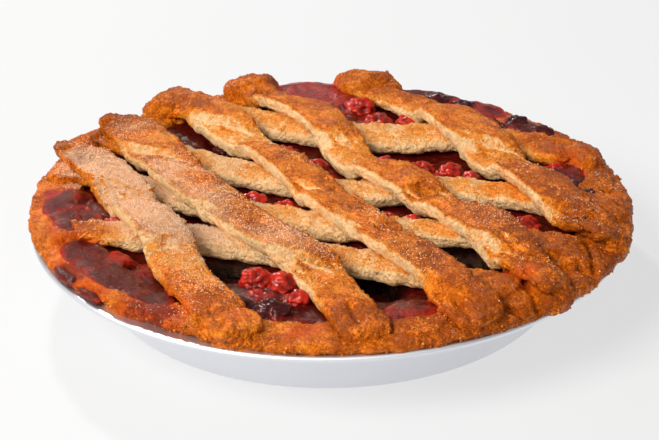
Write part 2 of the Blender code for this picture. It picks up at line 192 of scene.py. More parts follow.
class PieTinSettings(bpy.types.PropertyGroup):
    """Sizes and finish of the spun tin."""

    base_radius: FloatProperty(
        name="Base radius", description="Radius of the flat base", default=93 * MM, unit="LENGTH")
    flange_top: FloatProperty(
        name="Flange height", description="Height of the flange's upper face",
        default=FLANGE_TOP, unit="LENGTH")
    mouth_radius: FloatProperty(
        name="Mouth radius", description="Radius where the wall meets the flange",
        default=111 * MM, unit="LENGTH")
    bead_radius: FloatProperty(
        name="Bead radius", description="Radius of the rolled edge", default=1.2 * MM, unit="LENGTH")
    sheet: FloatProperty(
        name="Sheet", description="Thickness of the metal", default=0.6 * MM, unit="LENGTH")
    metal: FloatVectorProperty(
        name="Metal", description="Colour of the bare metal", subtype="COLOR", default=(0.80, 0.81, 0.85))


class PieCrustSettings(bpy.types.PropertyGroup):
    """How fine, lumpy and brown the pastry is."""

    grain: FloatProperty(
        name="Grain", description="Size of the smallest facets of dough", default=0.6 * MM, unit="LENGTH")
    lump: FloatProperty(
        name="Lumps", description="How far the dough swells and sinks", default=2.0 * MM, unit="LENGTH")
    crumble: FloatProperty(
        name="Crumble", description="Depth of the broken, crumbly edges", default=1.55 * MM, unit="LENGTH")
    square: FloatProperty(
        name="Square edges", description="How far the strips' upper edges stand out",
        default=0.65 * MM, unit="LENGTH")
    cream: FloatVectorProperty(
        name="Cream", description="Pale dough that baked least",
        subtype="COLOR", default=(0.98, 0.64, 0.32))
    golden: FloatVectorProperty(
        name="Golden", description="Evenly baked dough", subtype="COLOR", default=(0.84, 0.285, 0.026))
    amber: FloatVectorProperty(
        name="Amber", description="Dough browned under the egg wash",
        subtype="COLOR", default=(0.67, 0.145, 0.004))
    brown: FloatVectorProperty(
        name="Brown", description="The darkest baked spots", subtype="COLOR", default=(0.32, 0.055, 0.003))


class PieFruitSettings(bpy.types.PropertyGroup):
    """Colours and sizes of the cooked fruit."""

    syrup: FloatVectorProperty(
        name="Syrup", description="Thick dark juice", subtype="COLOR", default=(0.070, 0.0035, 0.002))
    flesh: FloatVectorProperty(
        name="Red flesh", description="Bright red cooked fruit",
        subtype="COLOR", default=(0.36, 0.014, 0.005))
    skin: FloatVectorProperty(
        name="Dark skin", description="Skin of the dark berries",
        subtype="COLOR", default=(0.024, 0.004, 0.006))
    bloom: FloatVectorProperty(
        name="Bloom", description="Dull skin on set jelly", subtype="COLOR", default=(0.10, 0.014, 0.009))
    ripple: FloatProperty(
        name="Ripple", description="Height of the wrinkles in the jelly", default=1.5 * MM, unit="LENGTH")


class PieSugarSettings(bpy.types.PropertyGroup):
    """Coarse sugar and loose crumbs."""

    grains: IntProperty(
        name="Grains", description="Number of sugar grains", default=19000, min=0)
    grain_size: FloatProperty(
        name="Grain size", description="Side of a middling grain", default=0.36 * MM, unit="LENGTH")
    crumbs: IntProperty(
        name="Crumbs", description="Number of loose crumbs", default=420, min=0)
    colour: FloatVectorProperty(
        name="Sugar", description="Colour of the sugar", subtype="COLOR", default=(0.86, 0.62, 0.44))


class PieStageSettings(bpy.types.PropertyGroup):
    """The floor, the lights and the camera."""

    floor_shade: FloatProperty(
        name="Floor shade", description="How pale the floor is", default=0.22, min=0, max=1)
    floor_glow: FloatProperty(
        name="Floor glow", description="Light that the floor gives off", default=0.645, min=0)
    sky: FloatProperty(
        name="Sky", description="Strength of the even light all round", default=0.32, min=0)
    key: FloatProperty(
        name="Key light", description="Power of the large soft light", default=26.5, min=0, unit="POWER")
    lens: FloatProperty(
        name="Lens", description="Focal length in millimetres", default=81.94, unit="CAMERA")


# ---- Materials ----


class Strand:
    """A value that runs between a material's nodes; sums on it add Math nodes."""

    def __init__(self, mix, socket):
        self.mix, self.socket = mix, socket

    def _math(self, operation, *values, clamp=False):
        settings = {"operation": operation, "use_clamp": clamp}
        return self.mix.node("ShaderNodeMath", settings, dict(enumerate(values)))

    def __add__(self, other):
        return self._math("ADD", self, other)

    def __sub__(self, other):
        return self._math("SUBTRACT", self, other)

    def __rsub__(self, other):
        return self._math("SUBTRACT", other, self)

    def __mul__(self, other):
        return self._math("MULTIPLY", self, other)

    __radd__ = __add__
    __rmul__ = __mul__

    def clipped(self):
        return self._math("ADD", self, 0.0, clamp=True)

    def rise(self, low, high):
        """0 below low, 1 above high and a soft climb between."""
        values = {"Value": self, "From Min": low, "From Max": high}
        return self.mix.node("ShaderNodeMapRange", {"interpolation_type": "SMOOTHSTEP"}, values)


class Mixture:
    """A material being mixed, with one way to add a node of any kind."""

    def __init__(self, name):
        self.material = bpy.data.materials.new(name)
        self.material.use_nodes = True
        self.tree = self.material.node_tree
        self.shader = self.tree.nodes["Principled BSDF"]
        self.place = self.node("ShaderNodeTexCoord", output="Object")

    def node(self, kind, settings=None, values=None, output=0):
        made = self.tree.nodes.new(kind)
        for name, value in (settings or {}).items():
            if name == "stops":
                self._set_stops(made.color_ramp, value)
            else:
                setattr(made, name, value)
        for key, value in (values or {}).items():
            self.feed(made.inputs[key], value)
        return Strand(self, made.outputs[output])

    def feed(self, socket, value):
        if isinstance(value, Strand):
            self.tree.links.new(value.socket, socket)
        else:
            socket.default_value = value

    @staticmethod
    def _set_stops(ramp, stops):
        while len(ramp.elements) < len(stops):
            ramp.elements.new(1.0)
        for element, (position, colour) in zip(ramp.elements, stops):
            element.position = position
            element.color = (*colour, 1)

    def noise(self, size, detail=3.0, roughness=0.55, place=None):
        values = {"Vector": place or self.place, "Scale": 1 / size,
                  "Detail": detail, "Roughness": roughness}
        return self.node("ShaderNodeTexNoise", None, values)

    def cells(self, size):
        return self.node("ShaderNodeTexVoronoi", None, {"Vector": self.place, "Scale": 1 / size})

    def attribute(self, name):
        return self.node("ShaderNodeAttribute", {"attribute_name": name}, output="Fac")

    def blend(self, share, first, second):
        """A mix of two colours; the Mix node's colour sockets are its inputs 6 and 7."""
        first, second = (c if isinstance(c, Strand) else (*c, 1) for c in (first, second))
        return self.node("ShaderNodeMix", {"data_type": "RGBA"}, {0: share, 6: first, 7: second}, output=2)

    def bump(self, height, depth, strength=1.0, under=None):
        values = {"Height": height, "Distance": depth, "Strength": strength}
        if under is not None:
            values["Normal"] = under
        return self.node("ShaderNodeBump", None, values)

    def set(self, **values):
        """Feeds the shader's own sockets; an underscore stands for a space."""
        for name, value in values.items():
            self.feed(self.shader.inputs[name.replace("_", " ")], value)


def pastry_material(crust):
    mix = Mixture("baked_pastry")
    # How baked the dough is, with painted shade on faces turned from the key light
    baked = mix.attribute("bake")
    frosted = mix.attribute("sugar")
    juicy = mix.attribute("juice")
    patches = mix.noise(11 * MM, 2.0)
    mottling = mix.noise(3.2 * MM, 4.0, 0.65)
    crumb = mix.noise(1.15 * MM, 3.0, 0.7)
    dry = mix.noise(0.6 * MM, 2.0, 0.7)
    flakes = mix.cells(1.3 * MM)
    uneven = patches.rise(0.34, 0.66) * 0.28 - 0.14 + (mottling - 0.5) + (crumb - 0.5) * 1.2 + (dry - 0.5)
    done = baked + uneven * (0.55 + 0.45 * baked.rise(0.0, 0.4))
    colour = mix.node("ShaderNodeValToRGB", {"stops": (
        (0.02, crust.cream), (0.36, crust.golden), (0.68, crust.amber), (1.0, crust.brown))}, {"Fac": done})
    frost = (frosted * (0.1 + 0.9 * dry + 0.9 * crumb)).rise(0.5, 1.25) * 0.55
    colour = mix.blend(frost, colour, (0.90, 0.58, 0.38))
    pits = (1 - flakes.rise(0.1, 0.3)) * mix.noise(6 * MM, 1.0).rise(0.46, 0.6) * done.rise(0.2, 0.5)
    colour = mix.blend(pits * 0.45, colour, (0.24, 0.05, 0.010))
    stained = (juicy + (patches - 0.5) * 0.5 + (mottling - 0.5) * 0.5).rise(0.1, 0.6)
    colour = mix.blend(stained * 0.75, colour, (0.62, 0.085, 0.006))
    wet = (juicy + (mottling - 0.5)).rise(0.55, 0.95)
    colour = mix.blend(wet * 0.85, colour, (0.17, 0.008, 0.006))
    washed = done.rise(0.45, 0.85)
    glazed = washed * mix.noise(16 * MM, 1.0).rise(0.42, 0.58)
    grain = (crumb * 0.9 + dry * 0.6 + flakes * 0.35) * (1 - 0.45 * glazed) + frosted * dry
    grit = mix.bump(grain, 1.5 * MM, 1.0)
    soft = mix.bump(mottling, 1.4 * MM, 0.8, grit)
    rough = (0.42 - 0.10 * washed - 0.14 * glazed - 0.16 * wet).clipped()
    mix.set(Base_Color=colour, Roughness=rough, Normal=soft)
    mix.set(Specular_IOR_Level=0.32, Specular_Tint=(1.0, 0.62, 0.24, 1))
    return mix.material


def jelly_material(fruit):
    mix = Mixture("fruit_jelly")
    red = mix.attribute("red")
    bloom = mix.attribute("bloom")
    swirl = mix.noise(6 * MM, 3.0, 0.6)
    grain = mix.noise(1.6 * MM, 3.0, 0.6)
    flesh = (red * 0.8 + (swirl - 0.5) * 2.0 + (grain - 0.5) * 0.9).rise(0.1, 1.1)
    colour = mix.blend(flesh, fruit.syrup, fruit.flesh)
    # Painted shade: where the redness falls below zero, in the deep hollows, the jelly is painted near black
    colour = mix.blend((0 - red).rise(0.0, 0.5), colour, (0.006, 0.001, 0.001))
    dull = (bloom * 0.8 + (grain - 0.5) * 1.6 + (swirl - 0.5) * 2.0).rise(0.3, 1.1)
    colour = mix.blend(dull * 0.5, colour, fruit.bloom)
    pulp = mix.noise(2.2 * MM, 4.0, 0.65)
    wrinkles = mix.bump(swirl * 0.6 + pulp * 0.7 + grain * (0.2 + 0.8 * dull), 1.8 * MM, 0.75)
    mix.set(Base_Color=colour, Roughness=(0.07 + 0.10 * dull + 0.06 * grain).clipped(), Normal=wrinkles)
    mix.set(Specular_IOR_Level=0.32, Specular_Tint=(1.0, 0.58, 0.34, 1))
    return mix.material


def berry_material(name, skin, glow, fruit):
    mix = Mixture(name)
    swirl = mix.noise(5 * MM, 2.0)
    grain = mix.noise(0.8 * MM, 2.0)
    deep = mix.attribute("deep")
    colour = mix.blend((swirl.rise(0.35, 0.65) * 0.7 + (grain - 0.5) * 0.4).clipped(), skin, glow)
    # Painted shade: the crevices darken towards the syrup's colour
    colour = mix.blend(deep * 0.8, colour, fruit.syrup)
    mix.set(Base_Color=colour, Roughness=(0.12 + 0.14 * grain).clipped(),
            Normal=mix.bump(grain, 0.25 * MM, 0.5))
    mix.set(Specular_IOR_Level=0.34, Specular_Tint=(1.0, 0.62, 0.54, 1))
    return mix.material


def tin_material(tin):
    mix = Mixture("spun_aluminium")
    drawn = mix.node("ShaderNodeMapping", None, {"Vector": mix.place, "Scale": (1, 1, 22)})
    lines = mix.noise(30 * MM, 4.0, 0.6, drawn)
    haze = mix.noise(40 * MM, 2.0)
    colour = mix.blend((haze - 0.35).clipped(), tin.metal, tuple(0.93 * c for c in tin.metal))
    mix.set(Base_Color=colour, Roughness=(0.38 + 0.14 * haze + 0.05 * lines).clipped(),
            Normal=mix.bump(lines, 0.03 * MM, 0.25))
    mix.set(Metallic=1.0)
    return mix.material


def sugar_material(sugar):
    mix = Mixture("sugar_crystal")
    shade = mix.noise(2 * MM, 1.0)
    colour = mix.blend(shade.rise(0.35, 0.65), sugar.colour, (0.84, 0.48, 0.22))
    mix.set(Base_Color=colour, Roughness=0.3)
    return mix.material


def floor_material(shade, glow):
    mix = Mixture("matt_floor")
    mix.set(Base_Color=mix.blend(mix.noise(0.6, 1.0) * 0.04, (shade,) * 3, (shade * 0.96,) * 3))
    # The floor glows with light of its own, painted a little dimmer towards the right: a painted fall-off of
    # light
    apart = mix.node("ShaderNodeSeparateXYZ", None, {"Vector": mix.place})
    mix.set(Emission_Color=mix.blend(apart.rise(-0.25, 0.45), (0.95, 0.95, 0.95), (0.945, 0.945, 0.95)))
    mix.set(Emission_Strength=glow, Roughness=0.8, Specular_IOR_Level=0.1)
    return mix.material


# ---- Shaping ----


def smoothstep(low, high, value):
    share = np.clip((value - low) / (high - low), 0, 1)
    return share * share * (3 - 2 * share)


def deselect():
    bpy.ops.object.select_all(action="DESELECT")


def select_only(piece):
    deselect()
    piece.select_set(True)
    bpy.context.view_layer.objects.active = piece


def join(pieces, name, into=0):
    """Joins the pieces into one of them, and names it."""
    select_only(pieces[into])
    for piece in pieces:
        piece.select_set(True)
    bpy.ops.object.join()
    joined = bpy.context.object
    joined.name = joined.data.name = name
    return joined


@contextmanager
def whole_in_edit_mode(piece):
    select_only(piece)
    bpy.ops.object.mode_set(mode="EDIT")
    bpy.ops.mesh.select_all(action="SELECT")
    yield
    bpy.ops.object.mode_set(mode="OBJECT")


@contextmanager
def open_mesh(piece):
    shape = bmesh.new()
    shape.from_mesh(piece.data)
    yield shape
    shape.to_mesh(piece.data)
    shape.free()


def copied_node(node, name):
    """A fresh piece with the node's shape, its loose triangles welded together."""
    piece = bpy.data.objects.new(name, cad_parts[node].data.copy())
    piece.data.name = name
    piece.data.materials.clear()
    bpy.context.scene.collection.objects.link(piece)
    with whole_in_edit_mode(piece):
        bpy.ops.mesh.remove_doubles(threshold=0.01 * MM)
    return piece


def finish_modifier(piece, kind, **settings):
    select_only(piece)
    modifier = piece.modifiers.new(kind.lower(), kind)
    for name, value in settings.items():
        setattr(modifier, name, value)
    bpy.ops.object.modifier_apply(modifier=modifier.name)


def refacet(piece, size):
    finish_modifier(piece, "REMESH", mode="VOXEL", voxel_size=size, adaptivity=0.0)


def relax(piece, rounds):
    finish_modifier(piece, "SMOOTH", factor=0.5, iterations=rounds)


def inflate(piece, height, group=""):
    finish_modifier(piece, "DISPLACE", strength=height, mid_level=0.0, vertex_group=group)


def swell(piece, size, height, depth=1, group=""):
    """Pushes the surface in and out with soft clouds of this size."""
    clouds = bpy.data.textures.new(piece.name + "_clouds", "CLOUDS")
    clouds.noise_scale = size
    clouds.noise_depth = depth
    finish_modifier(piece, "DISPLACE", texture=clouds, texture_coords="LOCAL", strength=height,
                    mid_level=0.5, vertex_group=group)


def points_of(piece):
    """Rows of places and of normals, one for each vertex."""
    mesh = piece.data
    places = np.empty(len(mesh.vertices) * 3, np.float32)
    normals = np.empty_like(places)
    mesh.vertices.foreach_get("co", places)
    mesh.vertex_normals.foreach_get("vector", normals)
    return places.reshape(-1, 3).astype(float), normals.reshape(-1, 3).astype(float)


def keep_points(piece, places):
    piece.data.vertices.foreach_set("co", places.astype(np.float32).ravel())
    piece.data.update()


def layer_of(piece, name):
    values = np.empty(len(piece.data.vertices), np.float32)
    piece.data.attributes[name].data.foreach_get("value", values)
    return values


def paint(piece, **layers):
    for name, values in layers.items():
        layer = piece.data.attributes.new(name, "FLOAT", "POINT")
        layer.data.foreach_set("value", np.asarray(values, np.float32))


def vertex_group(piece, name, weights, steps=20):
    """A vertex group, its weights rounded to a few levels so that it is quick to fill."""
    group = piece.vertex_groups.new(name=name)
    levels = np.round(np.clip(weights, 0, 1) * steps).astype(int)
    for level in range(1, steps + 1):
        members = np.flatnonzero(levels == level)
        if len(members):
            group.add(members.tolist(), level / steps, "REPLACE")
    return group.name


def drift(places, table):
    """Sum of soft round patches from a table of x, y, reach in millimetres and amount."""
    total = np.zeros(len(places))
    for x, y, reach, amount in table:
        away = np.hypot(places[:, 0] - x * MM, places[:, 1] - y * MM)
        total += amount * np.exp(-((away / (reach * MM)) ** 2) * 1.2)
    return total


def from_oval(places, x, y, turn, ahead, aside):
    """Distance from an oval with these half axes in millimetres, 1 on its outline."""
    c, s = math.cos(turn), math.sin(turn)
    dx, dy = places[:, 0] - x * MM, places[:, 1] - y * MM
    return np.hypot((dx * c + dy * s) / (ahead * MM), (dy * c - dx * s) / (aside * MM))


def from_spill(places, x, y, along, across):
    """Distance from a spill that lies round the rim, 1 on its outline."""
    return from_oval(places, x, y, math.atan2(y, x), across, along)


def oven_side(places):
    """How near a spot is to the side of the pie that browned most."""
    return smoothstep(25 * MM, 115 * MM, places[:, 0] * 0.88 - places[:, 1] * 0.48)


def smooth_shading(piece):
    piece.data.polygons.foreach_set("use_smooth", np.ones(len(piece.data.polygons), bool))


def settle(piece, material, slot, *nodes):
    """Gives a finished piece its material and its body, and hides the nodes it stands for; its slot is not
    used.
    """
    piece.data.materials.clear()
    piece.data.materials.append(material)
    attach(piece, BODY)
    if nodes:
        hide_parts(*nodes)


def shared_pastry(crust):
    return bpy.data.materials.get("baked_pastry") or pastry_material(crust)


# ---- Tin ----


def arc(r, z, radius, start, end, count):
    """Points of an arc in the plane of the profile, angles in degrees."""
    return [(r + radius * math.cos(math.radians(a)), z + radius * math.sin(math.radians(a)))
            for a in np.linspace(start, end, count)]


def tin_profile(tin):
    """The tin's section from the middle of its underside, out round the bead and back."""
    base_r, top, mouth_r, sheet = tin.base_radius, tin.flange_top, tin.mouth_radius, tin.sheet
    lean = math.degrees(math.atan2(top, mouth_r - base_r))
    foot, heel = 2.5 * MM, base_r - 1.4 * MM
    neck_r, neck_z, neck = mouth_r + 0.3 * MM, top - 1.8 * MM, 1.2 * MM
    panel_r, panel_z = base_r - 10 * MM, 0.5 * MM
    bead_r, bead_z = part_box("pie_tin")[1].x - tin.bead_radius, top - 0.6 * MM
    outside = [(0, panel_z), (panel_r, panel_z), (panel_r + 1.5 * MM, 0)]
    outside += arc(heel, foot, foot, -90, lean - 90, 7)
    outside += arc(neck_r, neck_z, neck, lean + 90, 90, 6)
    outside += arc(bead_r, bead_z, tin.bead_radius, 180, 475, 26)
    inside = arc(neck_r, neck_z, neck + sheet, 90, lean + 90, 6)
    inside += arc(heel, foot, foot - sheet, lean - 90, -90, 7)
    inside += [(panel_r + 1.2 * MM, sheet), (panel_r, panel_z + sheet), (0, panel_z + sheet)]
    return outside + inside


class PIE_OT_tin(bpy.types.Operator):
    """Spin the pressed metal tin with its rolled edge"""

    bl_idname = "pie.tin"
    bl_label = "Spin the tin"

    def execute(self, context):
        tin = context.scene.pie_tin
        mesh = bpy.data.meshes.new("tin")
        outline = tin_profile(tin)
        mesh.from_pydata([(r, 0, z) for r, z in outline], [(i, i + 1) for i in range(len(outline) - 1)], [])
        piece = bpy.data.objects.new("tin", mesh)
        context.scene.collection.objects.link(piece)
        finish_modifier(piece, "SCREW", axis="Z", steps=256, render_steps=256, use_merge_vertices=True,
                        merge_threshold=0.02 * MM, use_normal_calculate=True)
        with whole_in_edit_mode(piece):
            bpy.ops.mesh.remove_doubles(threshold=0.01 * MM)
            bpy.ops.mesh.normals_make_consistent(inside=False)
        bpy.ops.object.shade_smooth_by_angle(angle=math.radians(40))
        settle(piece, tin_material(tin), "tin", "pie_tin")
        return {"FINISHED"}


# ---- Pastry ----


def knead(piece, crust):
    """Turns a clean solid into hand-worked dough: lumps, dents and crumbly shoulders."""
    relax(piece, 5)
    places, normals = points_of(piece)
    shoulder = smoothstep(0.05, 0.45, normals[:, 2]) * (1 - smoothstep(0.80, 0.97, normals[:, 2]))
    clear_of_tin = smoothstep(FLANGE_TOP, 31.2 * MM, places[:, 2])
    edge = vertex_group(piece, "edge", shoulder * clear_of_tin)
    inflate(piece, 0.85 * MM)
    inflate(piece, crust.square, edge)
    _, normals = points_of(piece)
    # How far each face turns up to the oven's heat, tipped away from the key light: partly painted shade
    paint(piece, lie=normals @ HEAT_AND_SHADE_FACING)
    swell(piece, 9 * MM, crust.lump)
    swell(piece, 4.2 * MM, crust.lump * 0.65, 2)
    fold(piece)
    rough = vertex_group(piece, "rough", (0.4 + 0.6 * shoulder) * clear_of_tin)
    swell(piece, 2.0 * MM, crust.crumble, 2, group=rough)
    swell(piece, 1.15 * MM, crust.crumble * 0.5, 1, group=rough)


def fold(piece):
    """Presses the creases between overlapping pieces of dough into the surface."""
    places, normals = points_of(piece)
    spots = places[:, :2] / MM
    for x1, y1, x2, y2, width, depth in FOLDS:
        start, run = np.array((x1, y1)), np.array((x2 - x1, y2 - y1))
        along = np.clip((spots - start) @ run / (run @ run), 0, 1)
        off = spots - start - along[:, None] * run
        away = np.hypot(*off.T)
        side = np.sign(off @ np.array((-run[1], run[0])))
        lift = 0.4 * np.exp(-((away / (2.5 * width)) ** 2)) * smoothstep(0, 1.0, away) * (side > 0)
        push = (lift - np.exp(-((away / width) ** 2))) * smoothstep(30.5, 32.5, places[:, 2] / MM)
        places += normals * (push * depth * MM)[:, None]
    keep_points(piece, places)


def trim(piece, low, high):
    """Cuts away what lies outside a ring of radii and closes the cuts."""
    with open_mesh(piece) as shape:
        outside = [v for v in shape.verts if not low < math.hypot(v.co.x, v.co.y) < high]
        bmesh.ops.delete(shape, geom=outside, context="VERTS")
        bmesh.ops.holes_fill(shape, edges=[e for e in shape.edges if e.is_boundary], sides=0)
        bmesh.ops.triangulate(shape, faces=[f for f in shape.faces if len(f.verts) > 4])


def brown(piece, paleness):
    """Paints how baked, sugared and juicy each spot of the dough is, with painted shade: faces turned away
    from the key light are browner, faces turned to it paler.
    """
    places, normals = points_of(piece)
    ceiling = CAD_BOX[1].z - CEILING_GAP
    over = np.clip(places[:, 2] - ceiling, 0, None)
    places[:, 2] -= over * 0.6
    keep_points(piece, places)
    # Tops brown from the oven's heat; faces turned from the key light brown more and faces turned to it stay
    # paler, which is painted shade and light
    top = smoothstep(0.25, 0.85, layer_of(piece, "lie"))
    crest = smoothstep(CREST_LOW, CREST_HIGH, places[:, 2])
    side = oven_side(places)
    radius = np.hypot(places[:, 0], places[:, 1])
    near_rim = smoothstep(84 * MM, 108 * MM, radius)
    pale = paleness * (1 - smoothstep(88 * MM, 100 * MM, radius))
    baked = 0.02 + top * (0.25 + 0.46 * crest - pale) + side * (0.10 + 0.20 * top)
    baked = baked + near_rim * (0.78 - 0.26 * top)
    west = 1 - smoothstep(-85 * MM, -15 * MM, places[:, 0])
    baked = np.minimum(baked - 0.10 * west * top * (1 - near_rim), 0.86 + 0.10 * side)
    sugar = drift(places, SUGAR_DRIFTS) * smoothstep(0.35, 0.8, normals[:, 2])
    juice = drift(places, JUICE_RUNS) * smoothstep(92 * MM, 104 * MM, radius)
    for x, y, _, along, across, *_ in SPILLS:
        soaked = 0.75 * (1 - smoothstep(0.85, 1.25, from_spill(places, x, y, along, across)))
        juice = np.maximum(juice, soaked * (1 - smoothstep(35.5 * MM, 37.5 * MM, places[:, 2])))
    paint(piece, bake=baked, sugar=np.clip(sugar, 0, 1.3), juice=juice)
    smooth_shading(piece)


class PIE_OT_crust(bpy.types.Operator):
    """Press the pastry case's rim over the edge of the tin"""

    bl_idname = "pie.crust"
    bl_label = "Press the crust rim"

    def execute(self, context):
        crust = context.scene.pie_crust
        lumps = [self.lump(*row) for row in END_LUMPS]
        strips = []
        for node in STRIPS:
            strips.append(copied_node(node, node + "_end"))
            strips[-1].data.transform(Matrix.Translation((0, 0, -0.5 * MM)))
        piece = copied_node("pastry_case", "crust_rim")
        join([piece] + lumps + strips, "crust_rim")
        refacet(piece, crust.grain * 1.25)
        knead(piece, crust)
        self.sink_under_jelly(piece)
        self.clear_the_wall(piece)
        trim(piece, CASE_WALL, 1.0)
        brown(piece, 0.1)
        material = shared_pastry(crust)
        settle(piece, material, "pastry", "pastry_case")
        return {"FINISHED"}

    @staticmethod
    def lump(x, y, z, along, across, tall):
        deselect()
        turn = math.atan2(y, x) + math.pi / 2
        bpy.ops.mesh.primitive_uv_sphere_add(segments=24, ring_count=14, radius=1)
        made = bpy.context.object
        stretch = Matrix.Diagonal((along * MM, across * MM, tall * MM, 1))
        place = Matrix.Translation((x * MM, y * MM, z * MM)) @ Matrix.Rotation(turn, 4, "Z")
        made.data.transform(place @ stretch)
        return made

    @staticmethod
    def sink_under_jelly(piece):
        """Presses the crust down wherever jelly lies on it, so that the jelly shows."""
        places, _ = points_of(piece)
        for x, y, z, along, across, *_ in SPILLS:
            inside = 1 - smoothstep(0.7, 1.05, from_spill(places, x, y, along, across))
            sunk = np.minimum(places[:, 2], (z + 0.2) * MM)
            places[:, 2] += (sunk - places[:, 2]) * inside
        keep_points(piece, places)

    @staticmethod
    def clear_the_wall(piece):
        """Keeps only the upper crust: the part hidden inside the tin is cut off level."""
        with whole_in_edit_mode(piece):
            bpy.ops.mesh.bisect(
                plane_co=(0, 0, CUT_LEVEL), plane_no=(0, 0, 1), use_fill=False, clear_inner=True)
        with open_mesh(piece) as shape:
            cut = [e for e in shape.edges if e.is_boundary]
            bmesh.ops.triangle_fill(shape, edges=cut, normal=(0, 0, -1), use_beauty=False)
            bmesh.ops.recalc_face_normals(shape, faces=shape.faces)


class PIE_OT_lattice(bpy.types.Operator):
    """Lay the strips of dough across the fruit"""

    bl_idname = "pie.lattice"
    bl_label = "Lay the lattice"

    def execute(self, context):
        crust = context.scene.pie_crust
        material = shared_pastry(crust)
        for node in STRIPS:
            under = node in CROSS_STRIPS
            piece = copied_node(node, node.replace("strip", "dough"))
            refacet(piece, crust.grain)
            knead(piece, crust)
            places, _ = points_of(piece)
            tuck = smoothstep(95 * MM, 101 * MM, np.hypot(places[:, 0], places[:, 1]))
            inflate(piece, -1.1 * MM, vertex_group(piece, "tuck", tuck))
            trim(piece, -1.0, STRIP_REACH)
            brown(piece, 0.1 if under else 0.0)
            settle(piece, material, "pastry", node)
        return {"FINISHED"}


# ---- Fruit ----


class PIE_OT_filling(bpy.types.Operator):
    """Set the dark jelly of cooked fruit that fills the case"""

    bl_idname = "pie.filling"
    bl_label = "Set the filling"

    def execute(self, context):
        fruit = context.scene.pie_fruit
        reach, spacing, base = 103.8 * MM, 0.85 * MM, 20 * MM
        deselect()
        cuts = int(2 * reach / spacing)
        bpy.ops.mesh.primitive_grid_add(x_subdivisions=cuts, y_subdivisions=cuts, size=2 * reach,
                                        location=(0, 0, 0))
        piece = context.object
        piece.name = piece.data.name = "fruit_filling"
        with open_mesh(piece) as shape:
            outside = [v for v in shape.verts if v.co.length > reach]
            bmesh.ops.delete(shape, geom=outside, context="VERTS")
            for vertex in shape.verts:
                vertex.co.z = self.ground(vertex.co)
            edge = [e for e in shape.edges if e.is_boundary]
            skirt = bmesh.ops.extrude_edge_only(shape, edges=edge)["geom"]
            for vertex in (g for g in skirt if isinstance(g, bmesh.types.BMVert)):
                vertex.co.z = base
                vertex.co.xy *= 0.92
            rim = [g for g in skirt if isinstance(g, bmesh.types.BMEdge) and g.is_boundary]
            bmesh.ops.edgenet_fill(shape, edges=rim)
            bmesh.ops.recalc_face_normals(shape, faces=shape.faces)
        places, _ = points_of(piece)
        rise, red, bloom = self.mounds(places)
        top = places[:, 2] > base + 1 * MM
        places[:, 2] += rise * top
        keep_points(piece, places)
        group = vertex_group(piece, "surface", top.astype(float))
        swell(piece, 7 * MM, fruit.ripple * 1.2, 1, group=group)
        swell(piece, 3 * MM, fruit.ripple * 0.9, 2, group=group)
        smooth_shading(piece)
        paint(piece, red=red, bloom=bloom)
        settle(piece, jelly_material(fruit), "filling", "filling")
        return {"FINISHED"}

    @staticmethod
    def ground(place):
        radius = math.hypot(place.x, place.y)
        return 28.6 * MM + 3.2 * MM * float(smoothstep(62 * MM, 103 * MM, radius))

    @staticmethod
    def mounds(places):
        """Height, redness and bloom that the hollows and mounds add up to; the deep hollows take painted
        shade off the redness.
        """
        rise, red, bloom, hollow_shade = np.zeros((4, len(places)))
        for x, y, long, wide, turn, height, redness, dull in FRUIT_GROUND:
            share = 1 - smoothstep(0.45, 1.15, from_oval(places, x, y, math.radians(turn), long, wide))
            rise += height * MM * share
            red = np.maximum(red, redness * share)
            bloom = np.maximum(bloom, dull * share)
            hollow_shade = np.maximum(hollow_shade, share * (height < -6))
        # The deep hollows take painted shade off the redness
        return rise, red - hollow_shade, bloom


class PIE_OT_spills(bpy.types.Operator):
    """Let jelly creep over the inner edge of the crust"""

    bl_idname = "pie.spills"
    bl_label = "Spill the jelly"

    def execute(self, context):
        fruit = context.scene.pie_fruit
        piece = join([PIE_OT_crust.lump(*row[:6]) for row in SPILLS], "jelly_spills", into=-1)
        refacet(piece, 0.6 * MM)
        relax(piece, 4)
        swell(piece, 10 * MM, 2.2 * MM)
        swell(piece, 3.5 * MM, fruit.ripple * 0.5, 1)
        relax(piece, 3)
        smooth_shading(piece)
        places, _ = points_of(piece)
        red, bloom = np.zeros((2, len(places)))
        for x, y, _, along, across, _, redness, dull in SPILLS:
            away = from_spill(places, x, y, along, across)
            brim = 0.5 * smoothstep(0.6, 0.95, away)
            red = np.maximum(red, (redness + brim) * (1 - smoothstep(0.95, 1.2, away)))
            bloom = np.maximum(bloom, dull * (1 - smoothstep(0.5, 0.95, away)))
        paint(piece, red=red, bloom=bloom)
        settle(piece, bpy.data.materials["fruit_jelly"], "filling")
        return {"FINISHED"}


def beaded_berry(name, bead_rows, bead_size, seed):
    """One cooked berry of unit radius: a crown of small beads fused together, with shade painted into the
    crevices between them.
    """
    rng = np.random.default_rng(seed)
    beads = []
    golden_turn = math.pi * (3 - math.sqrt(5))
    for i in range(bead_rows):
        height = 1 - 2 * (i + 0.5) / bead_rows
        out, turn = math.sqrt(1 - height * height), i * golden_turn
        spot = Vector((out * math.cos(turn), out * math.sin(turn), height * 0.85))
        spot *= 0.72 + rng.uniform(-0.05, 0.05)
        radius = bead_size * rng.uniform(0.82, 1.18)
        deselect()
        bpy.ops.mesh.primitive_ico_sphere_add(subdivisions=2, radius=radius, location=spot)
        beads.append(bpy.context.object)
    deselect()
    bpy.ops.mesh.primitive_ico_sphere_add(subdivisions=3, radius=0.74)
    beads.append(bpy.context.object)
    berry = join(beads, name, into=-1)
    bpy.ops.object.transform_apply(location=True, rotation=True, scale=True)
    refacet(berry, 0.07)
    relax(berry, 2)
    places, _ = points_of(berry)
    reach = np.linalg.norm(places / (1, 1, 0.92), axis=1)
    # Painted shade: the crevices between the beads, nearer the middle, are marked to darken
    paint(berry, deep=1 - smoothstep(0.80, 0.97, reach))
    return berry


